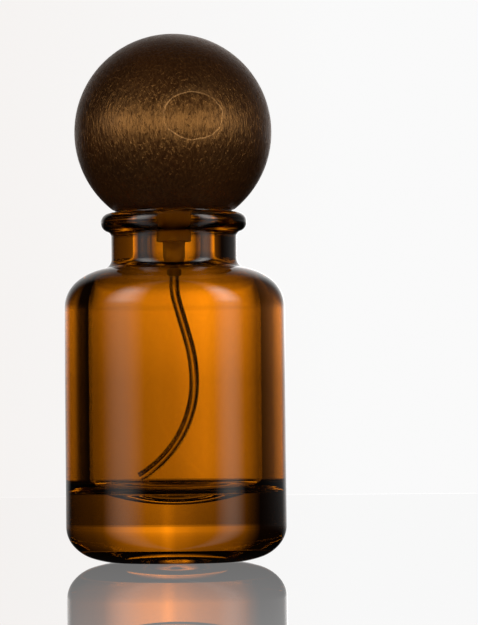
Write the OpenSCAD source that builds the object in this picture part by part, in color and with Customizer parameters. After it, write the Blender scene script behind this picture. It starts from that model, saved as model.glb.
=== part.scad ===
// Aftershave spray bottle: thick-based amber glass, crimped fine-mist pump, turned wooden ball cap.
// Millimetres, +Z up. The origin is the centre of the base on the table and the nozzle faces -Y.
// Round pieces are turned from outlines whose points are [radius, height].

/* [Glass body] */
// Outer diameter of the body
body_d = 40; // [36:1:48]
// Height of the top of the straight side wall
wall_top_h = 46.1; // [38:0.1:56]
// Thickness of the side wall
wall_t = 4.3; // [3:0.1:5.2]
// Height of the lowest point of the chamber floor
floor_h = 10.5; // [5:0.5:14]
// Diameter of the dish in the chamber floor
dish_d = 16.8; // [8:0.2:20]
// Depth of that dish
dish_depth = 1.9; // [0.5:0.1:2.5]
// Radius where the chamber floor turns up into the wall
corner_r = 2.6; // [2:0.1:4.5]
// Height that the push-up under the base rises to
push_up = 1.3; // [0.5:0.1:3]
// Width of the flat ring that the base stands on
foot_w = 0.8; // [0.5:0.1:2]
// Radius of the heel next to the wall
heel_r = 5.4; // [3:0.1:6]
// Radius of the heel next to the sole
heel_low_r = 7.5; // [5:0.1:9]
// Radius of the sole
sole_r = 21; // [12:1:26]
// Radius of the shoulder next to the wall
shoulder_r = 6.5; // [5:0.1:7.5]
// Radius of the top of the shoulder
crown_r = 11.6; // [9:0.1:14]

/* [Glass neck] */
// Outer diameter of the plain neck
neck_d = 22.8; // [19:0.1:27.4]
// Inner diameter of the mouth
bore_d = 9.8; // [8:0.1:10.4]
// Radius of the blend between shoulder and neck
neck_blend = 1.6; // [0.5:0.1:2]
// Radius where the side wall turns into the chamber's roof
roof_corner_r = 5; // [3:0.1:6]
// How far that corner turns before the roof's flatter curve takes over, in degrees
roof_turn = 54; // [48:1:60]
// Radius of the roof's flatter curve
roof_r = 11; // [10:0.5:14]
// Radius of the flare between roof and mouth
flare_r = 4; // [2:0.1:5]
// How far the bead under the cap stands out from the neck
bead_proud = 1.85; // [1.2:0.05:2.6]
// Radius of that bead's round edge
bead_r = 1.75; // [1.2:0.05:2.2]
// Height of the bead's middle above the shoulder
bead_rise = 6.7; // [5:0.1:9]
// Radius of the blend under the bead
bead_blend = 0.85; // [0.3:0.05:1.5]
// Width of the land that shows outside the cap's liner
land_w = 1.45; // [0.8:0.05:2]
// Height of that land above the bead
land_h = 0.3; // [0.2:0.1:1]

/* [Crimp finish] */
// Height of the finish above the land
finish_h = 7; // [6.6:0.1:9]
// Diameter of the crimp bead
crimp_d = 15; // [12.5:0.1:18]
// How far the crimp bead stands out from the finish
crimp_step = 1; // [0.8:0.1:1.2]
// Height of the crimp bead down to its chamfer
crimp_h = 3.6; // [3:0.1:4.2]
// Thickness of the neck gasket
gasket_t = 1; // [0.6:0.1:1.5]
// Thickness of the ferrule's metal
ferrule_t = 0.4; // [0.3:0.05:0.6]
// Thickness of the collar's metal
collar_t = 0.5; // [0.3:0.05:0.8]

/* [Pump] */
// Outer diameter of the pump barrel
barrel_d = 6.3; // [6:0.1:7.6]
// Bore of the pump barrel
barrel_bore_d = 5.2; // [4.8:0.1:5.6]
// Depth of the barrel bore below the flange
barrel_depth = 12.5; // [12:0.05:14]
// Travel of the stem
stroke = 3.5; // [2:0.1:3.7]
// Outer diameter of the stem
stem_d = 3; // [2.8:0.05:3.2]
// Bore of the stem
stem_bore_d = 1.2; // [0.8:0.1:1.4]
// Travel of the piston along the stem as it opens the outlet
piston_slip = 0.4; // [0.2:0.05:0.5]
// Diameter of the inlet ball
ball_valve_d = 2; // [1.6:0.1:2.2]
// Lift of the inlet ball
ball_lift = 0.5; // [0.3:0.05:0.8]
// Wire diameter of the return spring
spring_wire_d = 0.4; // [0.3:0.05:0.4]
// Turns of the return spring
spring_turns = 5.5; // [4:0.5:6]
// Outer diameter of the dip tube
tube_d = 1.85; // [1.5:0.05:2.2]
// Bore of the dip tube
tube_bore_d = 1.2; // [0.8:0.05:1.4]

/* [Actuator] */
// Outer diameter of the actuator's metal shell
shell_d = 12.6; // [11:0.1:13.4]
// Thickness of that shell
shell_t = 0.3; // [0.2:0.05:0.5]
// Height of the shell
shell_h = 10; // [9:0.1:12]
// Diameter of the nozzle insert
insert_d = 4; // [3.6:0.1:4.4]
// Diameter of the spray orifice
orifice_d = 0.3; // [0.2:0.05:0.4]

/* [Cap] */
// Diameter of the wooden ball
cap_d = 35.8; // [33:0.1:43]
// Width of the flat cut under the ball, outside the liner
cap_flat_w = 1.65; // [0.5:0.05:2.2]
// Thickness of the liner's wall
liner_t = 0.7; // [0.5:0.05:0.9]
// Radial room between the liner and the actuator
liner_room = 0.9; // [0.5:0.1:1]

/* [Fits] */
// Radial clearance between pieces that slide on each other
slide_fit = 0.03; // [0.02:0.01:0.06]
// Radial clearance between the cap's liner and the collar
cap_fit = 0.05; // [0.03:0.01:0.1]
// Clearance between fixed metal and glass
seat_fit = 0.05; // [0.02:0.01:0.1]
// Room left between pieces at the end of their travel
end_room = 0.4; // [0.3:0.05:0.6]

/* [Hidden] */
$fn = 96;

// Steps in each arc of a turned outline
arc_steps = 12;
// How far a cutter runs past the face it cuts
past = 1;

amber = [0.72, 0.36, 0.05, 0.55];
milky = [0.92, 0.92, 0.9];
white = [0.96, 0.96, 0.95];
steel = [0.75, 0.76, 0.78];
satin_metal = [0.82, 0.82, 0.83];
black_rubber = [0.12, 0.12, 0.13];
dark_wood = [0.33, 0.2, 0.1];

// Angles, from level, where the arcs of the heel, sole and shoulder meet
heel_turn = 40;
heel_low_turn = 72;
sole_turn = 82;
shoulder_turn = 54;

body_r = body_d / 2;
chamber_r = body_r - wall_t;
neck_r = neck_d / 2;
bore_r = bore_d / 2;

// Heel and sole: three arcs that run on from one another, and end on the table
heel_h = heel_r * sin(heel_turn)
    + heel_low_r * (sin(heel_low_turn) - sin(heel_turn))
    + sole_r * (sin(sole_turn) - sin(heel_low_turn));
heel_c = [body_r - heel_r, heel_h];
heel_low_c = heel_c + (heel_r - heel_low_r) * [cos(heel_turn), -sin(heel_turn)];
sole_c = heel_low_c + (heel_low_r - sole_r) * [cos(heel_low_turn), -sin(heel_low_turn)];
foot_r = sole_c[0] + sole_r * cos(sole_turn);
push_up_inner_r = foot_r - foot_w;

// Shoulder: two arcs, then a blend into the neck
shoulder_c = [body_r - shoulder_r, wall_top_h];
crown_c = shoulder_c + (shoulder_r - crown_r) * [cos(shoulder_turn), sin(shoulder_turn)];
neck_blend_c = over_arc(crown_c, crown_r, neck_r, neck_blend);
neck_blend_a = angle_from(crown_c, neck_blend_c);

// Roof of the chamber: a corner arc, a flatter arc and a flare into the mouth
roof_corner_c = [chamber_r - roof_corner_r, wall_top_h];
roof_c = roof_corner_c + (roof_corner_r - roof_r) * [cos(roof_turn), sin(roof_turn)];
flare_c = over_arc(roof_c, roof_r, bore_r, flare_r);
flare_a = angle_from(roof_c, flare_c);

// Radii at the crimp, from the inside out: finish, crimp bead, ferrule, collar, cap's liner
crimp_r = crimp_d / 2;
finish_r = crimp_r - crimp_step;
ferrule_in_r = crimp_r + seat_fit;
ferrule_r = ferrule_in_r + ferrule_t;
collar_in_r = ferrule_r + seat_fit;
collar_r = collar_in_r + collar_t;
liner_low_r = collar_r + cap_fit;

// Bead and land
bead_c = [neck_r + bead_proud - bead_r, neck_blend_c[1] + bead_rise];
bead_blend_x = neck_r + bead_blend;
bead_blend_drop = sqrt(pow(bead_r + bead_blend, 2) - pow(bead_blend_x - bead_c[0], 2));
bead_blend_c = [bead_blend_x, bead_c[1] - bead_blend_drop];
bead_blend_a = angle_from(bead_c, bead_blend_c);
land_r = liner_low_r + liner_t + land_w;
land_z = bead_c[1] + bead_r + land_h;

// Chamber floor: a dish, a level ring and a corner
rim_z = floor_h + dish_depth;
dish_r = dish_d / 2;
dish_ball_r = (dish_r * dish_r + dish_depth * dish_depth) / (2 * dish_depth);
dish_a = asin(dish_r / dish_ball_r);
corner_c = [chamber_r - corner_r, rim_z + corner_r];

// Crimp finish
lip_z = land_z + finish_h;
lip_round = 0.5;
crimp_under_z = lip_z - crimp_h;

// Stack that the ferrule clamps on the lip: gasket, barrel flange, turret flange
flange_t = 0.6;
flange_r = crimp_r - 0.3;
gasket_top_z = lip_z + gasket_t;
barrel_flange_z = gasket_top_z + flange_t;
turret_flange_z = barrel_flange_z + flange_t;
ferrule_top_z = turret_flange_z + ferrule_t;
ferrule_roll_r = crimp_r - 0.6;
ferrule_edge = 0.3;
collar_top_t = 0.5;
collar_edge = 0.4;
collar_top_z = ferrule_top_z + collar_top_t;

// Turret: a hollow post that guides the stem
turret_r = 4;
turret_rise = 1.25;
turret_top_z = turret_flange_z + turret_rise;
turret_skirt_z = barrel_flange_z - 1.65;
stem_seal_t = 0.5;
stem_seal_z = turret_skirt_z - stem_seal_t;

// Barrel
barrel_r = barrel_d / 2;
barrel_bore_r = barrel_bore_d / 2;
barrel_floor_z = barrel_flange_z - barrel_depth;
barrel_floor_t = 0.8;
in_bore_gap = 0.05;

// Inlet valve: a ball on a cone, under the barrel's floor
valve_r = ball_valve_d / 2;
valve_room = 0.3;
cage_bore_r = valve_r + valve_room;
cage_r = cage_bore_r + 0.7;
port_r = valve_r - 0.2;
inlet_r = valve_r - 0.4;
ball_seat_gap = 0.02;
cage_top_z = barrel_floor_z - barrel_floor_t;
valve_c_z = cage_top_z - ball_seat_gap - ball_lift - valve_r - 0.1;
seat_tip_z = valve_c_z - (valve_r + ball_seat_gap) * sqrt(2);
cage_h = 4.4;
cage_low_z = barrel_floor_z - cage_h;
barrel_low_z = cage_low_z + 2.6;

// Tail that holds the dip tube, under a waist
tube_r = tube_d / 2;
tail_wall = 0.4;
tail_r = tube_r + tail_wall;
waist_r = inlet_r + 0.45;
waist_drop = 2.2;
waist_z = cage_low_z - waist_drop;
tail_flare = 0.9;
tail_h = 2.4;
tail_round = 0.25;
tail_top_z = waist_z - tail_flare;
tail_low_z = tail_top_z - tail_h;
tube_top_z = tail_top_z - 0.1;

// Moving column: plunger, piston, its spring and the stem
stem_r = stem_d / 2;
stem_thin_r = stem_r - 0.3;
stem_bore_r = stem_bore_d / 2;
stem_collar_r = barrel_bore_r - 0.6;
stem_collar_t = 0.4;
stem_collar_z = stem_seal_z - in_bore_gap - stem_collar_t;
piston_h = 2.2;
piston_z = stem_collar_z - in_bore_gap - piston_slip - piston_h;
piston_cup = 1.1;
piston_cup_r = stem_collar_r - 0.15;
piston_waist_r = barrel_bore_r - 0.35;
piston_lip = 0.4;
plunger_t = 0.6;
plunger_z = piston_z - plunger_t;
plunger_pin_h = 1.8;
plunger_slot = 0.5;
cross_hole_r = 0.25;
cross_hole_rise = 0.5;
vent_r = 0.25;
stem_top_z = collar_top_z + stroke + end_room + 3.5;

// Springs
coil_sides = 8;
coil_steps = 24;
spring_r = stem_collar_r - spring_wire_d / 2 - 0.05;
small_wire_d = 0.25;
small_turns = 3;
small_spring_r = (piston_cup_r + stem_thin_r) / 2;

// Actuator
shell_r = shell_d / 2;
shell_z = collar_top_z + stroke + end_room;
shell_top_z = shell_z + shell_h;
shell_edge = 0.6;
button_r = shell_r - shell_t;
button_lift = 0.4;
button_z = shell_z + button_lift;
button_top_z = shell_top_z - shell_t;
socket_top_z = stem_top_z + 0.1;
nozzle_z = shell_z + 5.5;
insert_r = insert_d / 2;
insert_len = 2.3;
insert_front = shell_r - 0.2;
insert_wall = 0.5;
insert_bore_r = insert_r - 0.65;
plenum = 0.4;
post_r = insert_bore_r - 0.15;
swirl_gap = 0.1;
channel_r = 0.45;
channel_z = nozzle_z + (insert_r + post_r) / 2;
orifice_r = orifice_d / 2;
spray_cone_r = 0.6;
spray_cone_h = 0.25;

// Cap
cap_r = cap_d / 2;
cap_z = land_z + 0.1;
cap_flat_r = liner_low_r + liner_t + cap_flat_w;
cap_c_z = cap_z + sqrt(cap_r * cap_r - cap_flat_r * cap_flat_r);
liner_high_r = shell_r + liner_room;
liner_step_z = collar_top_z + end_room;
liner_roof_z = shell_top_z + 1.5;

// Route of the dip tube in the XZ plane: down, out to a lean, back to upright, then round the chamber.
// Each route point is [x, z, lean from straight down].
tube_sides = 12;
tube_bore_r = tube_bore_d / 2;
lean = 16;
lean_len = 7.8;
first_bend_r = 6.3;
high_bend_r = 27.4;
low_bend_r = 20;
low_bend = 60;
first_bend_c = [first_bend_r, tail_low_z - 0.3];
lean_end = first_bend_c - first_bend_r * [cos(lean), sin(lean)] + lean_len * [sin(lean), -cos(lean)];
high_bend_c = lean_end - high_bend_r * [cos(lean), sin(lean)];
low_bend_c = high_bend_c + [high_bend_r - low_bend_r, 0];
tube_route = concat(
    [[0, tube_top_z, 0]],
    route_arc(first_bend_c, -first_bend_r, 0, lean, 3),
    route_arc(high_bend_c, high_bend_r, lean, 0, 4),
    route_arc(low_bend_c, low_bend_r, -low_bend / 12, -low_bend, 11));

function route_arc(c, r, from, to, n) =
    [for (i = [0:n])
        let (a = from + (to - from) * i / n)
        [c[0] + r * cos(a), c[1] + r * sin(a), a]];

function arc(c, r, from, to, n = arc_steps) =
    [for (i = [0:n]) c + r * [cos(from + (to - from) * i / n), sin(from + (to - from) * i / n)]];

// Centre of an arc of radius r that touches a circle from outside and an upright line at x
function over_arc(c, circle_r, x, r) =
    [x + r, c[1] + sqrt(pow(circle_r + r, 2) - pow(x + r - c[0], 2))];

function angle_from(a, b) = atan2(b[1] - a[1], b[0] - a[0]);

module lathe(outline) {
    rotate_extrude() polygon(outline);
}

module ring(outer_r, inner_r, z0, z1) {
    translate([0, 0, z0])
        difference() {
            cylinder(r = outer_r, h = z1 - z0);
            translate([0, 0, -past]) cylinder(r = inner_r, h = z1 - z0 + 2 * past);
        }
}

// A hole along Y from y0 out to y1, at height z
module cross_bore(r, z, y0, y1) {
    translate([0, -y0, z]) rotate([90, 0, 0]) cylinder(r = r, h = y1 - y0);
}

// Height of a coil's wire after t turns: closed at both ends and evenly open between
function coil_rise(t, turns, height, wire) =
    let (closed = 1, open_turns = turns - 2 * closed, open_rise = height - wire * (2 * closed + 1))
    t < closed ? wire * t
    : t > turns - closed ? height - wire * (1 + turns - t)
    : wire * closed + open_rise * (t - closed) / open_turns;

function coil_ring(a, z, r, wire, sides) =
    [for (k = [0:sides - 1])
        let (d = r + wire / 2 * cos(360 * k / sides))
        [d * cos(a), d * sin(a), z + wire / 2 * sin(360 * k / sides)]];

module coil(r, wire, turns, z0, z1) {
    steps = turns * coil_steps;
    points = [for (i = [0:steps])
        each coil_ring(360 * i / coil_steps,
            z0 + wire / 2 + coil_rise(i / coil_steps, turns, z1 - z0, wire), r, wire, coil_sides)];
    sides = [for (i = [0:steps - 1], k = [0:coil_sides - 1])
        let (n = (k + 1) % coil_sides, a = i * coil_sides, b = a + coil_sides)
        [a + k, a + n, b + n, b + k]];
    start = [for (k = [0:coil_sides - 1]) coil_sides - 1 - k];
    end = [for (k = [0:coil_sides - 1]) steps * coil_sides + k];
    polyhedron(points, concat([start], sides, [end]));
}

module glass_bottle() {
    outside = concat(
        arc([0, push_up - push_dome_r()], push_dome_r(), 90, 90 - push_dome_a()),
        arc(sole_c, sole_r, -sole_turn, -heel_low_turn),
        arc(heel_low_c, heel_low_r, -heel_low_turn, -heel_turn),
        arc(heel_c, heel_r, -heel_turn, 0),
        arc(shoulder_c, shoulder_r, 0, shoulder_turn),
        arc(crown_c, crown_r, shoulder_turn, neck_blend_a),
        arc(neck_blend_c, neck_blend, neck_blend_a + 180, 180),
        arc(bead_blend_c, bead_blend, 180, bead_blend_a + 180),
        arc(bead_c, bead_r, bead_blend_a, 90));
    finish = concat(
        [[land_r, land_z - land_h], [land_r, land_z], [finish_r, land_z],
            [finish_r, crimp_under_z - (crimp_r - finish_r)], [crimp_r, crimp_under_z]],
        arc([crimp_r - lip_round, lip_z - lip_round], lip_round, 0, 90),
        arc([bore_r + lip_round, lip_z - lip_round], lip_round, 90, 180));
    inside = concat(
        arc(flare_c, flare_r, 180, flare_a + 180),
        arc(roof_c, roof_r, flare_a, roof_turn),
        arc(roof_corner_c, roof_corner_r, roof_turn, 0),
        arc(corner_c, corner_r, 0, -90),
        arc([0, floor_h + dish_ball_r], dish_ball_r, dish_a - 90, -90));
    color(amber) lathe(concat(outside, finish, inside));
}

function push_dome_r() =
    (push_up_inner_r * push_up_inner_r + push_up * push_up) / (2 * push_up);
function push_dome_a() = asin(push_up_inner_r / push_dome_r());

// A ring of the dip tube about a route point, square to the route
function tube_ring(point, r) =
    [for (k = [0:tube_sides - 1])
        let (across = r * cos(360 * k / tube_sides), out = r * sin(360 * k / tube_sides))
        [point[0] + across * cos(point[2]), out, point[1] + across * sin(point[2])]];

module dip_tube() {
    rings = len(tube_route);
    points = [for (point = tube_route) each concat(tube_ring(point, tube_r), tube_ring(point, tube_bore_r))];
    walls = [for (i = [0:rings - 2], k = [0:tube_sides - 1])
        let (n = (k + 1) % tube_sides, a = 2 * i * tube_sides, b = a + 2 * tube_sides, in = tube_sides)
        each [[a + n, a + k, b + k, b + n], [a + in + k, a + in + n, b + in + n, b + in + k]]];
    rims = [for (end = [0, 1], k = [0:tube_sides - 1])
        let (n = (k + 1) % tube_sides, a = end * 2 * tube_sides * (rings - 1), in = tube_sides,
            rim = [a + k, a + n, a + in + n, a + in + k])
        end == 0 ? rim : [for (j = [3:-1:0]) rim[j]]];
    color(milky) polyhedron(points, concat(walls, rims));
}

module pump_housing() {
    outline = [
        [tube_r, tail_low_z], [tail_r - tail_round, tail_low_z], [tail_r, tail_low_z + tail_round],
        [tail_r, tail_top_z], [waist_r, waist_z], [cage_r, cage_low_z], [cage_r, barrel_low_z],
        [barrel_r, barrel_low_z],
        [barrel_r, gasket_top_z], [flange_r, gasket_top_z], [flange_r, barrel_flange_z],
        [barrel_bore_r, barrel_flange_z], [barrel_bore_r, barrel_floor_z],
        [port_r, barrel_floor_z], [port_r, cage_top_z], [cage_bore_r, cage_top_z],
        [cage_bore_r, seat_tip_z + cage_bore_r], [inlet_r, seat_tip_z + inlet_r],
        [inlet_r, tube_top_z], [tube_r, tube_top_z]];
    color(white)
        difference() {
            lathe(outline);
            cross_bore(vent_r, stem_collar_z, 0, barrel_r + past);
        }
}

module inlet_ball() {
    color(steel) translate([0, 0, valve_c_z]) sphere(r = valve_r);
}

module return_spring() {
    color(steel) coil(spring_r, spring_wire_d, spring_turns, barrel_floor_z, plunger_z);
}

module valve_plunger() {
    color(white)
        difference() {
            union() {
                translate([0, 0, plunger_z]) cylinder(r = stem_collar_r, h = plunger_t);
                translate([0, 0, piston_z]) cylinder(r = stem_bore_r, h = plunger_pin_h);
            }
            translate([-stem_bore_r - past, -plunger_slot / 2, piston_z])
                cube([2 * (stem_bore_r + past), plunger_slot, plunger_pin_h + past]);
        }
}

module piston() {
    lip_r = barrel_bore_r - slide_fit;
    in_r = stem_thin_r + slide_fit;
    top_z = piston_z + piston_h;
    color(milky)
        lathe([
            [in_r, piston_z], [lip_r, piston_z], [lip_r, piston_z + piston_lip],
            [piston_waist_r, piston_z + 2 * piston_lip], [piston_waist_r, top_z - 2 * piston_lip],
            [lip_r, top_z - piston_lip], [lip_r, top_z], [piston_cup_r, top_z],
            [piston_cup_r, piston_z + piston_cup], [in_r, piston_z + piston_cup]]);
}

module piston_spring() {
    color(steel) coil(small_spring_r, small_wire_d, small_turns, piston_z + piston_cup, stem_collar_z);
}

module stem() {
    collar_top = stem_collar_z + stem_collar_t;
    color(white)
        difference() {
            lathe([
                [stem_bore_r, piston_z], [stem_thin_r, piston_z], [stem_thin_r, stem_collar_z],
                [stem_collar_r, stem_collar_z], [stem_collar_r, collar_top],
                [stem_r, collar_top], [stem_r, stem_top_z], [stem_bore_r, stem_top_z]]);
            cross_bore(cross_hole_r, piston_z + cross_hole_rise, -stem_r - past, stem_r + past);
        }
}

module stem_seal() {
    color(black_rubber)
        ring(barrel_bore_r - in_bore_gap, stem_r + slide_fit, stem_seal_z, turret_skirt_z);
}

module turret() {
    hole_r = stem_r + slide_fit;
    skirt_r = barrel_bore_r - in_bore_gap;
    color(white)
        lathe([
            [hole_r, turret_skirt_z], [skirt_r, turret_skirt_z], [skirt_r, barrel_flange_z],
            [flange_r, barrel_flange_z], [flange_r, turret_flange_z],
            [turret_r, turret_flange_z], [turret_r, turret_top_z], [hole_r, turret_top_z]]);
}

module neck_gasket() {
    color(black_rubber) ring(flange_r, barrel_r + seat_fit, lip_z, gasket_top_z);
}

module crimp_ferrule() {
    // The roll follows the chamfer under the crimp bead, at 45 degrees
    hole_r = turret_r + seat_fit;
    tip_z = crimp_under_z - (crimp_r - ferrule_roll_r) - seat_fit * sqrt(2);
    tip_step = ferrule_t / sqrt(2);
    inner_bend_z = crimp_under_z - seat_fit * (sqrt(2) - 1);
    outer_bend_z = crimp_under_z - (seat_fit + ferrule_t) * (sqrt(2) - 1);
    color(satin_metal)
        lathe([
            [hole_r, turret_flange_z], [ferrule_in_r, turret_flange_z], [ferrule_in_r, inner_bend_z],
            [ferrule_roll_r, tip_z], [ferrule_roll_r + tip_step, tip_z - tip_step],
            [ferrule_r, outer_bend_z], [ferrule_r, ferrule_top_z - ferrule_edge],
            [ferrule_r - ferrule_edge, ferrule_top_z], [hole_r, ferrule_top_z]]);
}

module pump_collar() {
    hole_r = turret_r + 2 * seat_fit;
    color(satin_metal)
        lathe(concat(
            [[hole_r, ferrule_top_z], [collar_in_r, ferrule_top_z], [collar_in_r, land_z],
                [collar_r, land_z]],
            arc([collar_r - collar_edge, collar_top_z - collar_edge], collar_edge, 0, 90),
            [[hole_r, collar_top_z]]));
}

module actuator_button() {
    insert_back = insert_front - insert_len;
    color(white)
        difference() {
            translate([0, 0, button_z]) cylinder(r = button_r, h = button_top_z - button_z);
            translate([0, 0, button_z - past])
                cylinder(r = stem_r + slide_fit, h = socket_top_z - button_z + past);
            translate([0, 0, socket_top_z - past])
                cylinder(r = channel_r, h = channel_z + channel_r - socket_top_z + past);
            cross_bore(channel_r, channel_z, 0, insert_back - plenum / 2);
            difference() {
                cross_bore(insert_r, nozzle_z, insert_back - plenum, button_r + past);
                cross_bore(post_r, nozzle_z, insert_back - plenum - past,
                    insert_front - insert_wall - swirl_gap);
            }
        }
}

module actuator_shell() {
    color(satin_metal)
        difference() {
            lathe(concat(
                [[button_r, shell_z], [shell_r, shell_z]],
                arc([shell_r - shell_edge, shell_top_z - shell_edge], shell_edge, 0, 90),
                [[0, shell_top_z], [0, button_top_z], [button_r, button_top_z]]));
            cross_bore(insert_r + seat_fit, nozzle_z, 0, shell_r + past);
        }
}

module nozzle_insert() {
    insert_back = insert_front - insert_len;
    color(white)
        translate([0, -insert_back, nozzle_z]) rotate([90, 0, 0])
            lathe([
                [orifice_r, insert_len - insert_wall], [insert_bore_r, insert_len - insert_wall],
                [insert_bore_r, 0], [insert_r, 0], [insert_r, insert_len],
                [spray_cone_r, insert_len], [orifice_r, insert_len - spray_cone_h]]);
}

module cap_liner() {
    color(milky) lathe(liner_outline());
}

function liner_outline() = [
    [liner_low_r, cap_z], [liner_low_r + liner_t, cap_z],
    [liner_low_r + liner_t, liner_step_z + liner_t], [liner_high_r + liner_t, liner_step_z + liner_t],
    [liner_high_r + liner_t, liner_roof_z + liner_t], [0, liner_roof_z + liner_t],
    [0, liner_roof_z], [liner_high_r, liner_roof_z], [liner_high_r, liner_step_z],
    [liner_low_r, liner_step_z]];

module cap_ball() {
    color(dark_wood)
        difference() {
            translate([0, 0, cap_c_z]) sphere(r = cap_r, $fn = 128);
            translate([0, 0, cap_z - cap_r]) cylinder(r = cap_r + past, h = cap_r);
            translate([0, 0, cap_z - past])
                cylinder(r = liner_low_r + liner_t, h = liner_step_z + liner_t - cap_z + past);
            translate([0, 0, liner_step_z])
                cylinder(r = liner_high_r + liner_t, h = liner_roof_z + liner_t - liner_step_z);
        }
}

glass_bottle();
dip_tube();
pump_housing();
inlet_ball();
return_spring();
valve_plunger();
piston();
piston_spring();
stem();
stem_seal();
turret();
neck_gasket();
crimp_ferrule();
pump_collar();
actuator_button();
actuator_shell();
nozzle_insert();
cap_liner();
cap_ball();
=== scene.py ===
"""Aftershave spray bottle: lacquered glass, a crimped fine-mist pump and a turned wooden ball cap.

Everything is in metres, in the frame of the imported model: +Z up, the base on the floor, the nozzle
towards -Y. Round pieces are turned about the Z axis from outlines of (radius, height) points.
"""

import math

import bmesh
import bpy
from mathutils import Matrix, Vector


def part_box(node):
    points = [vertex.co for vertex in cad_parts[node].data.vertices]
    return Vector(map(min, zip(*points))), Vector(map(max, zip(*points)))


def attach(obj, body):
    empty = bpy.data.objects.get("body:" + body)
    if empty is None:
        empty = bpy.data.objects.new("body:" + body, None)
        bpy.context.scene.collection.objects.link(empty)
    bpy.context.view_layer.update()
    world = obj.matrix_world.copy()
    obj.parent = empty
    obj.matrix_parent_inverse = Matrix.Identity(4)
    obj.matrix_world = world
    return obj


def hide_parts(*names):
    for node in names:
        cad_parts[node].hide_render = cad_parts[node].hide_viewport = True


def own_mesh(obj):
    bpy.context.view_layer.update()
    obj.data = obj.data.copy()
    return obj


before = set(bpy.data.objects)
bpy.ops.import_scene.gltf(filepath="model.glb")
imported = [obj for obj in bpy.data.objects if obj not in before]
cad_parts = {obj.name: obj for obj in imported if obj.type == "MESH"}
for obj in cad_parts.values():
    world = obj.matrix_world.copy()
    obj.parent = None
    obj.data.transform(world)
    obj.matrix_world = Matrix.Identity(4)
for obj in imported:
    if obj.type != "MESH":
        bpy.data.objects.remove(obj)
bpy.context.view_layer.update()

MM = 0.001
DEGREES = 180 / math.pi
# Points closer than this, in metres, are one point
SAME_SPOT = 1e-7
# Edges that turn by more than this, in degrees, are shaded crisp
CRISP = 35
UPRIGHT_INSET = 0.04 * MM
# Sides of a turned piece, fewer for the smaller ones
BOTTLE_SIDES, WOOD_SIDES, SIDES, SMALL_SIDES, SLIM_SIDES, BALL_SIDES = 192, 160, 128, 96, 64, 48
# Turns the axis of a turned piece from +Z to the front, -Y
TO_FRONT = Matrix.Rotation(math.pi / 2, 4, "X")


# ---------------------------------------------------------------- places read from the frame


def outer_radius(node):
    low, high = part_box(node)
    return (high.x - low.x) / 2


def bottom(node):
    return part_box(node)[0].z


def top(node):
    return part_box(node)[1].z


def middle(node):
    return (bottom(node) + top(node)) / 2


# ---------------------------------------------------------------- outlines


def arc(centre, radius, start, end, step=5.0):
    """Points of a round stretch, from one angle to another in degrees, ends included."""
    count = max(2, math.ceil(abs(end - start) / step))
    angles = [math.radians(start + (end - start) * i / count) for i in range(count + 1)]
    return [(centre[0] + radius * math.cos(a), centre[1] + radius * math.sin(a)) for a in angles]


def angle_from(a, b):
    return math.degrees(math.atan2(b[1] - a[1], b[0] - a[0]))


def along(centre, radius, angle):
    turn = math.radians(angle)
    return (centre[0] + radius * math.cos(turn), centre[1] + radius * math.sin(turn))


def over_arc(centre, circle_radius, x, radius):
    """Centre of an arc that touches a circle from outside and an upright line at x."""
    rise = math.sqrt((circle_radius + radius) ** 2 - (x + radius - centre[0]) ** 2)
    return (x + radius, centre[1] + rise)


def upright(x, start, end):
    """Points close to both ends of a straight upright wall, which keep its shading flat."""
    inset = math.copysign(UPRIGHT_INSET, end - start)
    return [(x, start + inset), (x, end - inset)]


def eased(corners, steps=3):
    """An outline whose corners, given as (radius, height, rounding), become small arcs."""
    outline = []
    for i, (x, z, rounding) in enumerate(corners):
        here = Vector((x, z))
        if rounding == 0:
            outline.append((x, z))
            continue
        back = Vector(corners[i - 1][:2]) - here
        ahead = Vector(corners[(i + 1) % len(corners)][:2]) - here
        start = here + back.normalized() * min(rounding, back.length / 2)
        end = here + ahead.normalized() * min(rounding, ahead.length / 2)
        for k in range(steps + 1):
            t = k / steps
            point = (1 - t) ** 2 * start + 2 * t * (1 - t) * here + t**2 * end
            outline.append((point.x, point.y))
    return outline


def from_axis(outline):
    """The same closed outline, begun at its lower point on the axis and ended at its upper one."""
    on_axis = [i for i, (x, z) in enumerate(outline) if x == 0]
    start = min(on_axis, key=lambda i: outline[i][1])
    return outline[start:] + outline[:start]


# ---------------------------------------------------------------- modelling


def new_piece(name, bm):
    """Makes a smooth-shaded object at the origin from a bmesh, with its faces outwards."""
    bmesh.ops.remove_doubles(bm, verts=bm.verts, dist=SAME_SPOT)
    bmesh.ops.recalc_face_normals(bm, faces=bm.faces)
    mesh = bpy.data.meshes.new(name)
    bm.to_mesh(mesh)
    bm.free()
    mesh.shade_smooth()
    mesh.set_sharp_from_angle(angle=math.radians(CRISP))
    piece = bpy.data.objects.new(name, mesh)
    bpy.context.scene.collection.objects.link(piece)
    return piece


def turned(outline, sides=SIDES):
    """A bmesh turned about Z from a closed outline, or one that starts and ends on the axis."""
    bm = bmesh.new()
    verts = [bm.verts.new((x, 0, z)) for x, z in outline]
    edges = [bm.edges.new(pair) for pair in zip(verts, verts[1:])]
    if outline[0][0] > SAME_SPOT or outline[-1][0] > SAME_SPOT:
        edges.append(bm.edges.new((verts[-1], verts[0])))
    bmesh.ops.spin(bm, geom=verts + edges, cent=(0, 0, 0), axis=(0, 0, 1),
                   angle=math.tau, steps=sides, use_merge=True)
    return bm


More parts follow.
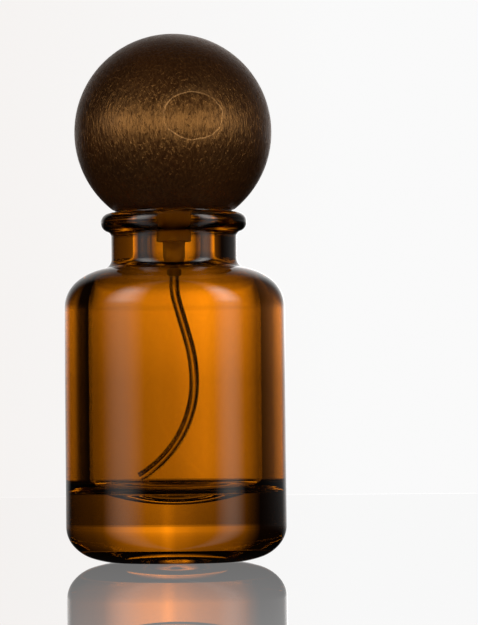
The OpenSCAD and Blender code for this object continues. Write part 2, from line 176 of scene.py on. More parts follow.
def swept(bm, path, frames, radius, sides, closed_ends=True):
    """Adds a round wire or pipe: a circle extruded from ring to ring along a path."""
    ring = bmesh.ops.create_circle(bm, cap_ends=False, segments=sides, radius=radius)["verts"]
    edges = list(dict.fromkeys(e for v in ring for e in v.link_edges))
    offsets = [(v.co.x, v.co.y) for v in ring]
    caps = [ring]
    for i, (centre, (across, out)) in enumerate(zip(path, frames)):
        if i > 0:
            made = bmesh.ops.extrude_edge_only(bm, edges=edges)["geom"]
            new = [g for g in made if isinstance(g, bmesh.types.BMVert)]
            edges = [g for g in made if isinstance(g, bmesh.types.BMEdge)]
            order = {}
            for v in new:
                old = next(e.other_vert(v) for e in v.link_edges if e.other_vert(v) not in new)
                order[v] = ring.index(old)
            ring = sorted(new, key=order.get)
        for v, (a, b) in zip(ring, offsets):
            v.co = centre + across * a + out * b
    caps.append(ring)
    if closed_ends:
        for cap in caps:
            bm.faces.new(cap)


def round_bar(radius, height, y0, y1, sides=BALL_SIDES):
    """A cylinder along Y, used to cut a round hole."""
    bm = bmesh.new()
    bmesh.ops.create_cone(bm, cap_ends=True, segments=sides, radius1=radius, radius2=radius,
                          depth=y1 - y0,
                          matrix=Matrix.Translation((0, (y0 + y1) / 2, height)) @ TO_FRONT)
    return new_piece("cutter", bm)


def cut(piece, cutter):
    """Takes the cutter out of the piece, and the cut edges stay crisp."""
    boolean = piece.modifiers.new("cut", "BOOLEAN")
    boolean.operation, boolean.solver, boolean.object = "DIFFERENCE", "EXACT", cutter
    graph = bpy.context.evaluated_depsgraph_get()
    made = bpy.data.meshes.new_from_object(piece.evaluated_get(graph))
    piece.modifiers.clear()
    piece.data = made
    made.set_sharp_from_angle(angle=math.radians(CRISP))
    bpy.data.objects.remove(cutter)


def placed(piece, material, body, slot, *nodes):
    """Gives a piece its material and its body, and hides the nodes it stands for; the slot is not
    used.
    """
    piece.data.materials.append(material)
    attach(piece, body)
    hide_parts(*nodes)
    return piece


# ---------------------------------------------------------------- material helpers


class Nodes:
    """Short calls for building one node tree."""

    def __init__(self, tree):
        self.tree = tree

    def fill(self, socket, value):
        if isinstance(value, bpy.types.NodeSocket):
            self.tree.links.new(value, socket)
        elif isinstance(value, tuple) and len(value) == 3 and socket.type == "RGBA":
            socket.default_value = (*value, 1)
        else:
            socket.default_value = value

    def add(self, kind, **inputs):
        node = self.tree.nodes.new("ShaderNode" + kind)
        for key, value in inputs.items():
            self.fill(node.inputs[key.replace("_", " ")], value)
        return node

    def place(self, scale=(1, 1, 1), turn=(0, 0, 0), shift=(0, 0, 0)):
        """Object coordinates, moved, turned and stretched."""
        coordinates = self.add("TexCoord").outputs["Object"]
        mapping = self.add("Mapping", Vector=coordinates, Location=shift, Rotation=turn,
                           Scale=scale)
        return mapping.outputs[0]

    def noise(self, vector, scale, detail=3.0, rough=0.5):
        node = self.add("TexNoise", Vector=vector, Scale=scale, Detail=detail, Roughness=rough)
        return node.outputs[0]

    def ramp(self, value, *stops):
        """A colour ramp; a stop is (place, grey level)."""
        node = self.add("ValToRGB", Fac=value)
        elements = node.color_ramp.elements
        elements[1].position, elements[0].position = stops[-1][0], stops[0][0]
        for place, level in stops[1:-1]:
            elements.new(place)
        for element, (place, level) in zip(elements, stops):
            element.color = (level, level, level, 1)
        return node.outputs["Color"]

    def maths(self, operation, a, b=0.0, clamp=False):
        node = self.add("Math")
        node.operation = operation
        node.use_clamp = clamp
        self.fill(node.inputs[0], a)
        self.fill(node.inputs[1], b)
        return node.outputs[0]

    def mix(self, factor, a, b):
        node = self.add("Mix")
        node.data_type = "RGBA"
        for socket, value in zip((node.inputs[0], node.inputs[6], node.inputs[7]), (factor, a, b)):
            self.fill(socket, value)
        return node.outputs[2]

    def either(self, factor, a, b):
        """One shader or the other, or a share of both."""
        node = self.add("MixShader", Fac=factor)
        self.fill(node.inputs[1], a)
        self.fill(node.inputs[2], b)
        return node.outputs[0]


class Surface(Nodes):
    """A new material with its main shader."""

    def __init__(self, name):
        self.material = bpy.data.materials.new(name)
        self.material.use_nodes = True
        super().__init__(self.material.node_tree)
        self.shader = next(n for n in self.tree.nodes if n.type == "BSDF_PRINCIPLED")
        self.output = next(n for n in self.tree.nodes if n.type == "OUTPUT_MATERIAL")

    def set(self, **values):
        for key, value in values.items():
            self.fill(self.shader.inputs[key.replace("_", " ")], value)

    def bump(self, height, distance):
        self.set(Normal=self.add("Bump", Height=height, Distance=distance).outputs["Normal"])

    def show_only(self, shader):
        """Puts another shader in place of the main one."""
        self.tree.nodes.remove(self.shader)
        self.fill(self.output.inputs["Surface"], shader)


# ---------------------------------------------------------------- materials

GLASS_IOR = 1.52
LACQUER, LACQUER_VARIES = (0.42, 0.118, 0.0015), 0.06
WOOD_DARK, WOOD_WARM = (0.0095, 0.0042, 0.0024), (0.046, 0.0150, 0.0036)
WOOD_FLECK, WOOD_RING, WOOD_SHEEN = (0.16, 0.06, 0.014), (0.72, 0.38, 0.14), (1.0, 0.47, 0.13)
RING_LEAN, PITH = 6.7, (-6.65 * MM, 22.2 * MM)
RING_START, RING_GAP, RING_WANDER, RING_FADE = 49.5 * MM, 9 * MM, 0.2 * MM, 1.2 * MM


def tinted(colour, share):
    return tuple(c * share for c in colour)


def glass(name, depth_stretch, depth_scale, depth_detail, thin, deep):
    """Polished glass whose colour varies a little from place to place."""
    n = Surface(name)
    depth = n.noise(n.place(scale=depth_stretch), depth_scale, depth_detail)
    n.set(Base_Color=n.mix(depth, thin, deep), Roughness=0.0, IOR=GLASS_IOR,
          Transmission_Weight=1.0)
    return n.material


def amber_glass():
    """Clear glass under a sheer amber lacquer, which varies a little in depth."""
    return glass("amber_lacquered_glass", (1, 1, 0.4), 45, 2,
                 tinted(LACQUER, 1 - LACQUER_VARIES), tinted(LACQUER, 1 + LACQUER_VARIES))


def clear_glass():
    return glass("clear_glass", (1, 1, 1), 60, 1, (0.97, 0.98, 0.97), (0.99, 0.99, 0.99))


def moulded_plastic(name, colour, translucency=0.0, smooth=0.32, matt=0.46):
    """Injection-moulded plastic: faint mottling and a fine satin skin."""
    n = Surface(name)
    mottle = n.noise(n.place(), 700, 4)
    n.set(Base_Color=n.mix(mottle, tinted(colour, 0.94), colour), IOR=1.49,
          Roughness=n.ramp(mottle, (0.3, smooth), (0.7, matt)), Transmission_Weight=translucency)
    n.bump(n.noise(n.place(), 6000, 2), 0.008 * MM)
    return n.material


def satin_aluminium():
    """Anodised metal with very fine turning lines round the axis."""
    n = Surface("satin_aluminium")
    lines = n.noise(n.place(scale=(0.02, 0.02, 1)), 9000, 3)
    patch = n.noise(n.place(), 250, 3)
    n.set(Base_Color=n.mix(patch, (0.73, 0.73, 0.74), (0.85, 0.85, 0.86)), Metallic=1.0,
          Roughness=n.ramp(lines, (0.3, 0.2), (0.7, 0.36)))
    n.bump(lines, 0.004 * MM)
    return n.material


def drawn_steel():
    n = Surface("drawn_steel")
    patch = n.noise(n.place(), 1500, 3)
    n.set(Base_Color=n.mix(patch, (0.6, 0.6, 0.61), (0.76, 0.76, 0.77)), Metallic=1.0,
          Roughness=n.ramp(patch, (0.3, 0.18), (0.7, 0.32)))
    n.bump(patch, 0.003 * MM)
    return n.material


def seal_rubber():
    n = Surface("seal_rubber")
    patch = n.noise(n.place(), 2500, 4)
    n.set(Base_Color=n.mix(patch, (0.012, 0.012, 0.013), (0.03, 0.03, 0.031)),
          Roughness=n.ramp(patch, (0.3, 0.6), (0.7, 0.8)))
    n.bump(patch, 0.01 * MM)
    return n.material


def growth_ring(n, lean):
    """The thin pale line of a growth ring round the pith, broken here and there."""
    axes = n.add("SeparateXYZ", Vector=n.place(turn=lean, shift=(-PITH[0], -PITH[1], 0))).outputs
    squares = [n.maths("POWER", axes[axis], 2.0) for axis in "XY"]
    radius = n.maths("SQRT", n.maths("ADD", *squares))
    wander = n.maths("MULTIPLY", n.noise(n.place(), 420, 3), RING_WANDER)
    inward = n.maths("SUBTRACT", RING_START, n.maths("ADD", radius, wander))
    share = n.maths("FRACT", n.maths("DIVIDE", inward, RING_GAP))
    line = n.ramp(share, (0.0, 0.0), (0.004, 1.0), (0.008, 0.1), (0.05, 0.0), (1.0, 0.0))
    fading = n.maths("DIVIDE", n.maths("SUBTRACT", RING_START, radius), RING_FADE)
    line = n.maths("MULTIPLY", line, n.maths("SUBTRACT", 1.0, fading, clamp=True))
    breaks = n.ramp(n.noise(n.place(), 260, 2), (0.35, 0.25), (0.6, 1.0))
    return n.maths("MULTIPLY", line, breaks)


def stained_wood():
    """Dark stained hardwood: upright fibres, and a growth ring about a leaning pith."""
    n = Surface("stained_wood")
    lean = (math.radians(RING_LEAN), 0, 0)
    line = growth_ring(n, lean)
    grain = n.place(scale=(1, 1, 0.22), turn=lean)
    fibre = n.noise(grain, 1900, 4, 0.65)
    fleck = n.ramp(n.noise(grain, 2600, 2), (0.5, 0.0), (0.62, 1.0))
    cloud = n.noise(n.place(scale=(1, 1, 1.6)), 110, 3)
    base = n.mix(cloud, WOOD_DARK, WOOD_WARM)
    base = n.mix(n.maths("MULTIPLY", fleck, 0.06), base, WOOD_FLECK)
    base = n.mix(n.maths("MULTIPLY", line, 0.9), base, WOOD_RING)
    n.set(Base_Color=base, Roughness=n.ramp(fibre, (0.35, 0.28), (0.65, 0.4)), IOR=1.75,
          Specular_IOR_Level=n.ramp(fibre, (0.35, 0.35), (0.65, 1.0)), Specular_Tint=WOOD_SHEEN)
    n.bump(n.maths("ADD", fibre, n.maths("MULTIPLY", fleck, 0.5)), 0.1 * MM)
    return n.material


# ---------------------------------------------------------------- glass bottle

WALL = 4.3 * MM
FLOOR_H, DISH_R, DISH_DEPTH, CORNER_R = 10.5 * MM, 8.4 * MM, 1.9 * MM, 2.6 * MM
PUSH_UP, FOOT_W = 1.3 * MM, 0.8 * MM
HEEL_R, HEEL_LOW_R, SOLE_R = 5.4 * MM, 7.5 * MM, 21 * MM
HEEL_TURN, HEEL_LOW_TURN, SOLE_TURN = 40, 72, 82
WALL_TOP = 46.1 * MM
SHOULDER_R, CROWN_R, SHOULDER_TURN = 6.5 * MM, 11.6 * MM, 54
NECK_R, NECK_BLEND = 11.4 * MM, 1.6 * MM
BEAD_PROUD, BEAD_R, BEAD_RISE, BEAD_BLEND = 1.85 * MM, 1.75 * MM, 6.7 * MM, 0.85 * MM
LAND_R, LAND_H, LAND_EDGE = 10.7 * MM, 0.3 * MM, 0.12 * MM
BORE_R, LIP_ROUND = 4.9 * MM, 0.5 * MM
CRIMP_R, CRIMP_STEP, CRIMP_H = 7.5 * MM, 1.0 * MM, 3.6 * MM
CRIMP_HOLLOW, CRIMP_EDGE = 0.3 * MM, 0.1 * MM
ROOF_CORNER_R, ROOF_R, ROOF_TURN = 5 * MM, 11 * MM, 54
FLARE_R = 4 * MM


def glass_outside():
    """From the middle of the base, up the side and over the bead to the lip."""
    body_r = outer_radius("glass_bottle")
    lip = top("glass_bottle")
    rise = {turn: math.sin(math.radians(turn)) for turn in (HEEL_TURN, HEEL_LOW_TURN, SOLE_TURN)}
    heel_h = (HEEL_R * rise[HEEL_TURN] + HEEL_LOW_R * (rise[HEEL_LOW_TURN] - rise[HEEL_TURN])
              + SOLE_R * (rise[SOLE_TURN] - rise[HEEL_LOW_TURN]))
    heel = (body_r - HEEL_R, heel_h)
    heel_low = along(heel, HEEL_R - HEEL_LOW_R, -HEEL_TURN)
    sole = along(heel_low, HEEL_LOW_R - SOLE_R, -HEEL_LOW_TURN)
    foot_in = along(sole, SOLE_R, -SOLE_TURN)[0] - FOOT_W
    dome_r = (foot_in**2 + PUSH_UP**2) / (2 * PUSH_UP)
    dome_turn = math.degrees(math.asin(foot_in / dome_r))
    shoulder = (body_r - SHOULDER_R, WALL_TOP)
    crown = along(shoulder, SHOULDER_R - CROWN_R, SHOULDER_TURN)
    blend = over_arc(crown, CROWN_R, NECK_R, NECK_BLEND)
    bead = (NECK_R + BEAD_PROUD - BEAD_R, blend[1] + BEAD_RISE)
    under_x = NECK_R + BEAD_BLEND
    drop = math.sqrt((BEAD_R + BEAD_BLEND) ** 2 - (under_x - bead[0]) ** 2)
    under = (under_x, bead[1] - drop)
    land = bead[1] + BEAD_R + LAND_H
    finish_r, crimp = CRIMP_R - CRIMP_STEP, lip - CRIMP_H
    # The last corner only sets the slope that leads to it; the crimping edge stands in its place
    finish = eased([
        (LAND_R, land - LAND_H, 0), (LAND_R, land, LAND_EDGE), (finish_r, land, 0),
        (finish_r, crimp - CRIMP_STEP, CRIMP_HOLLOW), (CRIMP_R, crimp, 0)], 4)[:-1]
    return (
        arc((0, PUSH_UP - dome_r), dome_r, 90, 90 - dome_turn, 1.5)
        + arc(sole, SOLE_R, -SOLE_TURN, -HEEL_LOW_TURN, 1.5)
        + arc(heel_low, HEEL_LOW_R, -HEEL_LOW_TURN, -HEEL_TURN, 4)[1:]
        + arc(heel, HEEL_R, -HEEL_TURN, 0, 4)[1:]
        + upright(body_r, heel_h, WALL_TOP)
        + arc(shoulder, SHOULDER_R, 0, SHOULDER_TURN, 4)
        + arc(crown, CROWN_R, SHOULDER_TURN, angle_from(crown, blend), 3)[1:]
        + arc(blend, NECK_BLEND, angle_from(crown, blend) + 180, 180, 10)[1:]
        + upright(NECK_R, blend[1], under[1])
        + arc(under, BEAD_BLEND, 180, angle_from(bead, under) + 180, 12)
        + arc(bead, BEAD_R, angle_from(bead, under), 90, 7)[1:]
        + finish
        + [(CRIMP_R - CRIMP_EDGE, crimp - CRIMP_EDGE), (CRIMP_R, crimp + CRIMP_EDGE)]
        + arc((CRIMP_R - LIP_ROUND, lip - LIP_ROUND), LIP_ROUND, 0, 90, 15))


def glass_inside():
    """From the lip down the mouth, the roof and the wall to the middle of the dished floor."""
    chamber_r = outer_radius("glass_bottle") - WALL
    lip = top("glass_bottle")
    corner = (chamber_r - ROOF_CORNER_R, WALL_TOP)
    roof = along(corner, ROOF_CORNER_R - ROOF_R, ROOF_TURN)
    flare = over_arc(roof, ROOF_R, BORE_R, FLARE_R)
    crest = angle_from(roof, flare)
    rim = FLOOR_H + DISH_DEPTH
    dish_r = (DISH_R**2 + DISH_DEPTH**2) / (2 * DISH_DEPTH)
    dish_turn = math.degrees(math.asin(DISH_R / dish_r))
    return (
        arc((BORE_R + LIP_ROUND, lip - LIP_ROUND), LIP_ROUND, 90, 180, 15)
        + upright(BORE_R, lip - LIP_ROUND, flare[1])
        + arc(flare, FLARE_R, 180, 180 + crest, 3)
        + arc(roof, ROOF_R, crest, ROOF_TURN, 3)[1:]
        + arc(corner, ROOF_CORNER_R, ROOF_TURN, 0, 4)[1:]
        + upright(chamber_r, WALL_TOP, rim + CORNER_R)
        + arc((chamber_r - CORNER_R, rim + CORNER_R), CORNER_R, 0, -90, 4)
        + arc((0, FLOOR_H + dish_r), dish_r, dish_turn - 90, -90, 1.5))


def grid_spot(radius, height):
    """A place in whole steps of the distance that counts as one point."""
    return (round(radius / SAME_SPOT), round(height / SAME_SPOT))


def glass_bottle():
    inside = glass_inside()
    bottle = new_piece("lacquered_bottle", turned(glass_outside() + inside, BOTTLE_SIDES))
    placed(bottle, amber_glass(), "bottle", "amber_glass", "glass_bottle")
    bottle.data.materials.append(clear_glass())
    # Only the outer skin is lacquered: faces whose corners all lie on the inside outline are clear
    within = set()
    for x, z in inside:
        r, h = grid_spot(x, z)
        within |= {(r + a, h + b) for a in (-1, 0, 1) for b in (-1, 0, 1)}
    spots = [grid_spot(math.hypot(v.co.x, v.co.y), v.co.z) for v in bottle.data.vertices]
    for face in bottle.data.polygons:
        if all(spots[i] in within for i in face.vertices):
            face.material_index = 1


# ---------------------------------------------------------------- cap

LINER_T, LINER_LOW_R, LINER_HIGH_R = 0.7 * MM, 8.55 * MM, 7.2 * MM
LINER_STEP = 74.186 * MM
BALL_EDGE = 0.25 * MM


def wooden_ball():
    """A ball with a flat underside, hollowed in two steps for the liner."""
    low, high = bottom("cap_ball"), top("cap_ball")
    radius = outer_radius("cap_ball")
    centre = high - radius
    flat_r = math.sqrt(radius**2 - (centre - low) ** 2)
    liner_r, step, roof = outer_radius("cap_liner"), LINER_STEP + LINER_T, top("cap_liner")
    hollow_r = LINER_HIGH_R + LINER_T
    last = math.degrees(math.asin((low + BALL_EDGE - centre) / radius))
    outline = (arc((0, centre), radius, 90, last, 2)
               + [(flat_r - BALL_EDGE * 0.4, low + BALL_EDGE * 0.25),
                  (flat_r - BALL_EDGE * 1.5, low), (liner_r, low), (liner_r, step),
                  (hollow_r, step), (hollow_r, roof), (0, roof)])
    ball = new_piece("wooden_ball", turned(outline, WOOD_SIDES))
    placed(ball, stained_wood(), "cap", "stained_wood", "cap_ball")


def cap_liner():
    low, roof = bottom("cap_liner"), top("cap_liner")
    out_low, out_high = LINER_LOW_R + LINER_T, LINER_HIGH_R + LINER_T
    outline = eased([
        (LINER_LOW_R, low, 0.2 * MM), (out_low, low, 0.05 * MM),
        (out_low, LINER_STEP + LINER_T, 0), (out_high, LINER_STEP + LINER_T, 0),
        (out_high, roof, 0), (0, roof, 0), (0, roof - LINER_T, 0),
        (LINER_HIGH_R, roof - LINER_T, 0.3 * MM), (LINER_HIGH_R, LINER_STEP, 0.15 * MM),
        (LINER_LOW_R, LINER_STEP, 0.2 * MM)])
    liner = new_piece("cap_liner_moulding", turned(from_axis(outline)))
    placed(liner, NATURAL, "cap", "natural_plastic", "cap_liner")


# ---------------------------------------------------------------- pump, fixed pieces

TUBE_R, TUBE_BORE_R, TUBE_EASE, TUBE_SIDES = 0.925 * MM, 0.6 * MM, 0.01 * MM, 24
TUBE_SPLAY, TUBE_STRAIGHT = 16, 7.8 * MM
TUBE_BENDS = (6.3 * MM, 27.4 * MM, 20 * MM)
TUBE_CURL = 60
FLANGE_R, BARREL_FLOOR, BARREL_BORE_R = 7.2 * MM, 59.786 * MM, 2.6 * MM
SEAL_R, STEM_FIT_R = 2.55 * MM, 1.53 * MM


def tube_path():
    """The middle of the dip tube as (x, z, lean): straight down, a splay, upright, a long curl."""
    splay = math.radians(TUBE_SPLAY)
    first, high, low = TUBE_BENDS
    points = [(0, top("dip_tube") - 0.02 * MM, 0.0)]
    centre = (first, bottom("pump_housing") - 0.3 * MM)
    for i in range(7):
        a = splay * i / 6
        points.append((centre[0] - first * math.cos(a), centre[1] - first * math.sin(a), a))
    x = points[-1][0] + TUBE_STRAIGHT * math.sin(splay)
    z = points[-1][1] - TUBE_STRAIGHT * math.cos(splay)
    centre = (x - high * math.cos(splay), z - high * math.sin(splay))
    for i in range(9):
        a = splay * (1 - i / 8)
        points.append((centre[0] + high * math.cos(a), centre[1] + high * math.sin(a), a))
    centre = (centre[0] + high - low, centre[1])
    for i in range(1, 31):
        a = -math.radians(TUBE_CURL) * i / 30
        points.append((centre[0] + low * math.cos(a), centre[1] + low * math.sin(a), a))
    return points


def dip_tube():
    points = tube_path()
    path = [Vector((x, 0, z)) for x, z, lean in points]
    frames = [(Vector((math.cos(a), 0, math.sin(a))), Vector((0, 1, 0))) for x, z, a in points]
    bm = bmesh.new()
    for radius in (TUBE_R - TUBE_EASE, TUBE_BORE_R):
        swept(bm, path, frames, radius, TUBE_SIDES, closed_ends=False)
    rims = [e for e in bm.edges if e.is_boundary]
    upper = [e for e in rims if min(v.co.z for v in e.verts) > points[1][1] * 0.9]
    lower = [e for e in rims if e not in upper]
    for rim in (upper, lower):
        bmesh.ops.bridge_loops(bm, edges=rim)
    tube = new_piece("dip_tube_extrusion", bm)
    placed(tube, CLEAR, "bottle", "natural_plastic", "dip_tube")


def pump_housing():
    """A flanged barrel, the cell of the inlet valve below it, and a tail that grips the tube."""
    low, high, flange = bottom("pump_housing"), top("pump_housing"), top("neck_gasket")
    tube = top("dip_tube")
    barrel_r, cell_wall_r, waist_r = 3.15 * MM, 2.0 * MM, 1.05 * MM
    tail_r, tail_end_r, tail_lead = 1.32 * MM, 1.07 * MM, 0.25 * MM
    inlet_r, inlet_h, cell_r, hole_r = 0.8 * MM, 0.8 * MM, 1.3 * MM, 0.6 * MM
    cell = BARREL_FLOOR - 4.4 * MM
    shoulder, waist, tail = cell + 2.6 * MM, cell - 2.2 * MM, cell - 3.1 * MM
    seat = middle("inlet_ball") - 1.02 * MM * math.sqrt(2)
    outline = eased([
        (TUBE_R, low, 0), (tail_end_r, low, 0), (tail_r, low + tail_lead, 0.2 * MM),
        (tail_r, tail, 0.7 * MM), (waist_r, waist, 0.7 * MM), (cell_wall_r, cell, 0.6 * MM),
        (cell_wall_r, shoulder, 0), (barrel_r, shoulder, 0.3 * MM), (barrel_r, flange, 0),
        (FLANGE_R, flange, 0.1 * MM), (FLANGE_R, high, 0.1 * MM), (BARREL_BORE_R, high, 0.1 * MM),
        (BARREL_BORE_R, BARREL_FLOOR, 0.1 * MM), (inlet_r, BARREL_FLOOR, 0),
        (inlet_r, BARREL_FLOOR - inlet_h, 0), (cell_r, BARREL_FLOOR - inlet_h, 0),
        (cell_r, seat + cell_r, 0), (hole_r, seat + hole_r, 0), (hole_r, tube, 0),
        (TUBE_R, tube, 0)])
    housing = new_piece("pump_housing_moulding", turned(outline, SMALL_SIDES))
    placed(housing, NATURAL_BODY, "bottle", "white_plastic", "pump_housing")


def seal_ring(name, node, outer, inner, edge):
    """A flat rubber ring as high as the model's own."""
    low, high = bottom(node), top(node)
    outline = eased([(inner, low, edge), (outer, low, edge), (outer, high, edge),
                     (inner, high, edge)])
    ring = new_piece(name, turned(outline, SMALL_SIDES))
    placed(ring, RUBBER, "bottle", "seal_rubber", node)


def neck_gasket():
    seal_ring("neck_gasket_ring", "neck_gasket", FLANGE_R, 3.2 * MM, 0.12 * MM)


def stem_seal():
    seal_ring("stem_seal_ring", "stem_seal", SEAL_R, STEM_FIT_R, 0.08 * MM)


def turret():
    """The plastic guide round the stem, whose flange closes the barrel."""
    low, high, flange = bottom("turret"), top("turret"), top("pump_housing")
    guide_r, flange_top = 4 * MM, flange + 0.6 * MM
    outline = eased([
        (STEM_FIT_R, low, 0.1 * MM), (SEAL_R, low, 0.1 * MM), (SEAL_R, flange, 0),
        (FLANGE_R, flange, 0.1 * MM), (FLANGE_R, flange_top, 0.1 * MM), (guide_r, flange_top, 0),
        (guide_r, high, 0.25 * MM), (STEM_FIT_R, high, 0.2 * MM)])
    guide = new_piece("turret_moulding", turned(outline, SMALL_SIDES))
    placed(guide, WHITE, "bottle", "white_plastic", "turret")


def crimp_ferrule():
    """A pressed metal cup whose skirt is tucked in under the crimping edge of the glass."""
    high, low = top("crimp_ferrule"), bottom("crimp_ferrule")
    outer, inner, hole, tuck_r = outer_radius("crimp_ferrule"), 7.55 * MM, 4.05 * MM, 6.9 * MM
    under = top("glass_bottle") - CRIMP_H
    gap, sheet = 0.05 * MM, 0.4 * MM
    bend = math.sqrt(2) - 1
    tip = under - 0.6 * MM - gap * math.sqrt(2)
    step = sheet / math.sqrt(2)
    outline = eased([
        (hole, high - sheet, 0.05 * MM), (inner, high - sheet, 0.05 * MM),
        (inner, under - gap * bend, 0.05 * MM), (tuck_r, tip, 0.05 * MM),
        (tuck_r + step, low, 0.05 * MM), (outer, under - (gap + sheet) * bend, 0.2 * MM),
        (outer, high, 0.45 * MM), (hole, high, 0.08 * MM)])
    ferrule = new_piece("crimp_ferrule_pressing", turned(outline, SMALL_SIDES))
    placed(ferrule, METAL, "bottle", "satin_aluminium", "crimp_ferrule")


def pump_collar():
    low, high, seat = bottom("pump_collar"), top("pump_collar"), top("crimp_ferrule")
    outer, inner, hole = outer_radius("pump_collar"), 8.0 * MM, 4.1 * MM
    outline = eased([
        (hole, seat, 0.05 * MM), (inner, seat, 0.1 * MM), (inner, low, 0.1 * MM),
        (outer, low, 0.15 * MM), (outer, high, 0.5 * MM), (hole, high, 0.12 * MM)], 5)
    collar = new_piece("pump_collar_pressing", turned(outline))
    placed(collar, METAL, "bottle", "satin_aluminium", "pump_collar")


# ---------------------------------------------------------------- pump, moving pieces

# The wire is drawn a little thinner than the model's, so that closed coils don't cut each other
WIRE_SHARE, WIRE_SIDES, STEPS_PER_TURN = 0.99, 12, 28


def stem():
    low, high, collar = bottom("stem"), top("stem"), top("piston_spring")
    bore_r, foot_r, stem_r = 0.6 * MM, 1.2 * MM, 1.5 * MM
    collar_r, collar_top = 2.0 * MM, collar + 0.4 * MM
    outline = eased([
        (bore_r, low, 0.05 * MM), (foot_r, low, 0.05 * MM), (foot_r, collar, 0),
        (collar_r, collar, 0.08 * MM), (collar_r, collar_top, 0.08 * MM), (stem_r, collar_top, 0),
        (stem_r, high, 0.2 * MM), (bore_r, high, 0.15 * MM)])
    tube = new_piece("stem_moulding", turned(outline, SLIM_SIDES))
    placed(tube, WHITE, "stem", "white_plastic", "stem")


def valve_plunger():
    low, high = bottom("valve_plunger"), top("valve_plunger")
    head_r, rod_r, head_top = 2.0 * MM, 0.59 * MM, low + 0.6 * MM
    outline = eased([
        (0, low, 0), (head_r, low, 0.1 * MM), (head_r, head_top, 0.1 * MM), (rod_r, head_top, 0),
        (rod_r, high, 0.1 * MM), (0, high, 0)])
    plunger = new_piece("valve_plunger_moulding", turned(outline, SLIM_SIDES))
    placed(plunger, WHITE, "stem", "white_plastic", "valve_plunger")


def piston():
    """A waisted sleeve with a wiping lip at each end and a cup for its spring."""
    low, high = bottom("piston"), top("piston")
    hole_r, lip_r, waist_r, cup_r = 1.23 * MM, 2.57 * MM, 2.25 * MM, 1.85 * MM
    lip_h, waist_h, cup = 0.4 * MM, 0.8 * MM, low + 1.1 * MM
    outline = eased([
        (hole_r, low, 0.05 * MM), (lip_r, low, 0.05 * MM), (lip_r, low + lip_h, 0.15 * MM),
        (waist_r, low + waist_h, 0.2 * MM), (waist_r, high - waist_h, 0.2 * MM),
        (lip_r, high - lip_h, 0.15 * MM), (lip_r, high, 0.05 * MM), (cup_r, high, 0.1 * MM),
        (cup_r, cup, 0.1 * MM), (hole_r, cup, 0.05 * MM)])
    sleeve = new_piece("piston_moulding", turned(outline, SLIM_SIDES))
    placed(sleeve, NATURAL, "piston", "natural_plastic", "piston")


def inlet_ball():
    radius = (top("inlet_ball") - bottom("inlet_ball")) / 2
    outline = arc((0, middle("inlet_ball")), radius, -90, 90, 6)
    ball = new_piece("inlet_ball_steel", turned(outline, BALL_SIDES))
    placed(ball, STEEL, "inlet_ball", "steel", "inlet_ball")


def coil_piece(name, node, radius, wire, turns, body):
    """A spring closed at both ends and evenly open between."""
    low, high = bottom(node) + wire / 2, top(node) - wire / 2
    open_rise = (high - low) - 2 * wire
    path, frames = [], []
    for i in range(int(turns * STEPS_PER_TURN) + 1):
        t, a = i / STEPS_PER_TURN, math.tau * i / STEPS_PER_TURN
        if t < 1:
            z = low + wire * t
        elif t > turns - 1:
            z = high - wire * (turns - t)
        else:
            z = low + wire + open_rise * (t - 1) / (turns - 2)
        out = Vector((math.cos(a), math.sin(a), 0))
        path.append(out * radius + Vector((0, 0, z)))
        frames.append((out, Vector((0, 0, 1))))
    bm = bmesh.new()
    swept(bm, path, frames, wire / 2 * WIRE_SHARE, WIRE_SIDES)
    spring = placed(new_piece(name, bm), STEEL, body, "steel", node)
    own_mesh(spring)


def return_spring():
    coil_piece("return_spring_coil", "return_spring", 1.75 * MM, 0.4 * MM, 5.5, "bottle")


def piston_spring():
    coil_piece("piston_spring_coil", "piston_spring", 1.525 * MM, 0.25 * MM, 3, "stem")


# ---------------------------------------------------------------- actuator

NOZZLE_R, NOZZLE_GAP = 2.0 * MM, 0.05 * MM


def actuator_button():
    """The white core of the button, with a socket for the stem and a pocket for the nozzle."""
    low, high, socket = bottom("actuator_button"), top("actuator_button"), top("stem") + 0.1 * MM
    button_r = outer_radius("actuator_button")
    outline = eased([(STEM_FIT_R, low, 0.15 * MM), (button_r, low, 0.1 * MM),
                     (button_r, high, 0.3 * MM), (0, high, 0), (0, socket, 0),
                     (STEM_FIT_R, socket, 0)])
    button = new_piece("actuator_button_moulding", turned(from_axis(outline)))
    cut(button, round_bar(NOZZLE_R, middle("nozzle_insert"), -7 * MM, -3.4 * MM))
    placed(button, WHITE, "actuator", "white_plastic", "actuator_button")


def actuator_shell():
    """The thin metal cover of the button, open where the nozzle shows."""
    low, high = bottom("actuator_shell"), top("actuator_shell")
    outer, inner = outer_radius("actuator_shell"), outer_radius("actuator_button")
    under = high - 0.3 * MM
    outline = eased([(inner, low, 0.06 * MM), (outer, low, 0.1 * MM), (outer, high, 0.75 * MM),
                     (0, high, 0), (0, under, 0), (inner, under, 0.3 * MM)], 6)
    shell = new_piece("actuator_shell_pressing", turned(from_axis(outline)))
    cut(shell, round_bar(NOZZLE_R + NOZZLE_GAP, middle("nozzle_insert"), -8 * MM, 0, SLIM_SIDES))
    placed(shell, METAL, "actuator", "satin_aluminium", "actuator_shell")


